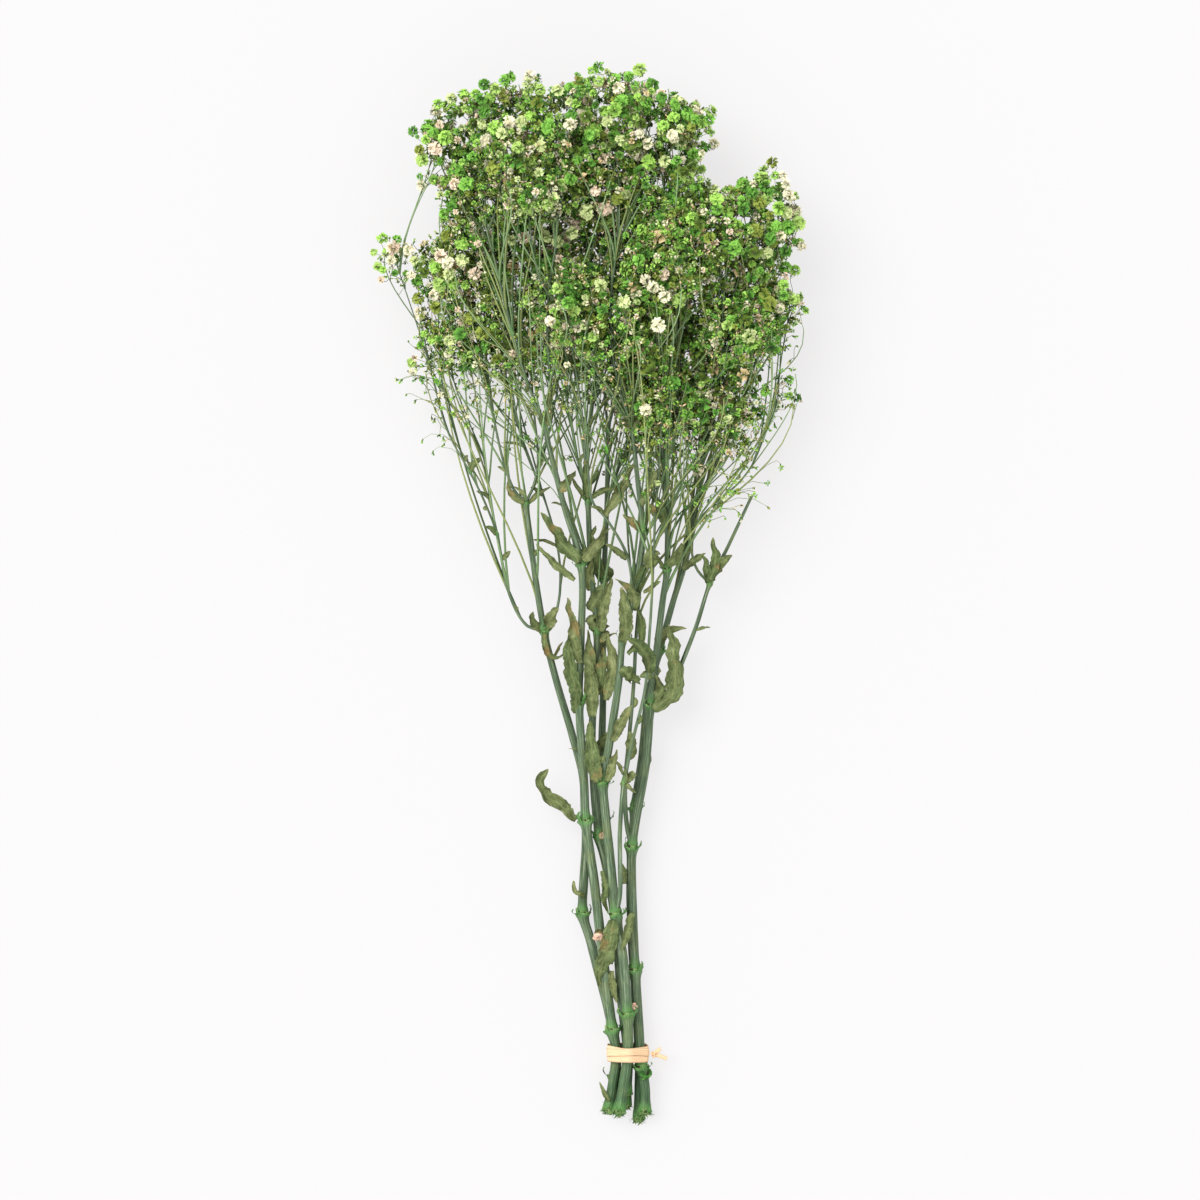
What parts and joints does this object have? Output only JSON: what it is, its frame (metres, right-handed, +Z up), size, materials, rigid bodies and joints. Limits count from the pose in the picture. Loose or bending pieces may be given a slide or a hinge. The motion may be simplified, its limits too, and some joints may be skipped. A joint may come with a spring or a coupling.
{
  "type": "preserved gypsophila bunch",
  "caption": "Dried, preserved baby's breath: green stems tied near their cut ends, with crumpled olive leaves and a broad head of small double green and cream flowers, lying flat.",
  "frame": {"origin": "on the surface the bunch lies on, under the middle of its bounding box", "axes": "+Z up, +Y along the bunch from the cut ends towards the flowers, +X to the right of that seen from above"},
  "size_m": [0.2466, 0.6011, 0.0976],
  "materials": {
    "stem": "matte, waxy grey-green with brighter joints",
    "leaf": "dry, crumpled olive with tan tips",
    "bloom": "soft dyed petals, bright green to cream",
    "raffia": "dry peach-tan plant fibre"
  },
  "bodies": {
    "root": {"bloom_centre_back": "bloom", "bloom_centre_right_back": "bloom", "bloom_front_centre": "bloom", "bloom_front_left_centre": "bloom", "bloom_front_low": "bloom", "bloom_front_upper_right": "bloom", "bloom_left": "bloom", "bloom_left_inner": "bloom", "bloom_left_lobe": "bloom", "bloom_low_centre": "bloom", "bloom_low_centre_right": "bloom", "bloom_low_left": "bloom", "bloom_low_right": "bloom", "bloom_low_right_centre": "bloom", "bloom_lower_left": "bloom", "bloom_lower_middle": "bloom", "bloom_right": "bloom", "bloom_right_inner": "bloom", "bloom_right_lobe": "bloom", "bloom_right_middle": "bloom", "bloom_right_sprig": "bloom", "bloom_top_left": "bloom", "bloom_top_left_inner": "bloom", "bloom_top_middle": "bloom", "bloom_top_right": "bloom", "bloom_top_right_inner": "bloom", "bloom_upper_left": "bloom", "bloom_upper_left_inner": "bloom", "bloom_upper_middle": "bloom", "bloom_upper_right": "bloom", "bloom_upper_right_inner": "bloom", "leaf_centre_left": "leaf", "leaf_centre_right": "leaf", "leaf_dark_folded": "leaf", "leaf_far_right": "leaf", "leaf_front_centre": "leaf", "leaf_left_curled": "leaf", "leaf_left_ragged": "leaf", "leaf_left_upper_ragged": "leaf", "leaf_low_front": "leaf", "leaf_low_left_folded": "leaf", "leaf_low_narrow": "leaf", "leaf_low_right": "leaf", "leaf_narrow_left": "leaf", "leaf_pale_left": "leaf", "leaf_pale_tip": "leaf", "leaf_right_large": "leaf", "leaf_right_node": "leaf", "leaf_upper_centre": "leaf", "leaf_upper_right": "leaf", "stem_back_left": "stem", "stem_back_right": "stem", "stem_front_centre": "stem", "stem_front_left": "stem", "stem_left": "stem", "stem_middle_back": "stem", "stem_right": "stem", "tie_band": "raffia", "tie_knot": "raffia"}
  },
  "joints": []
}
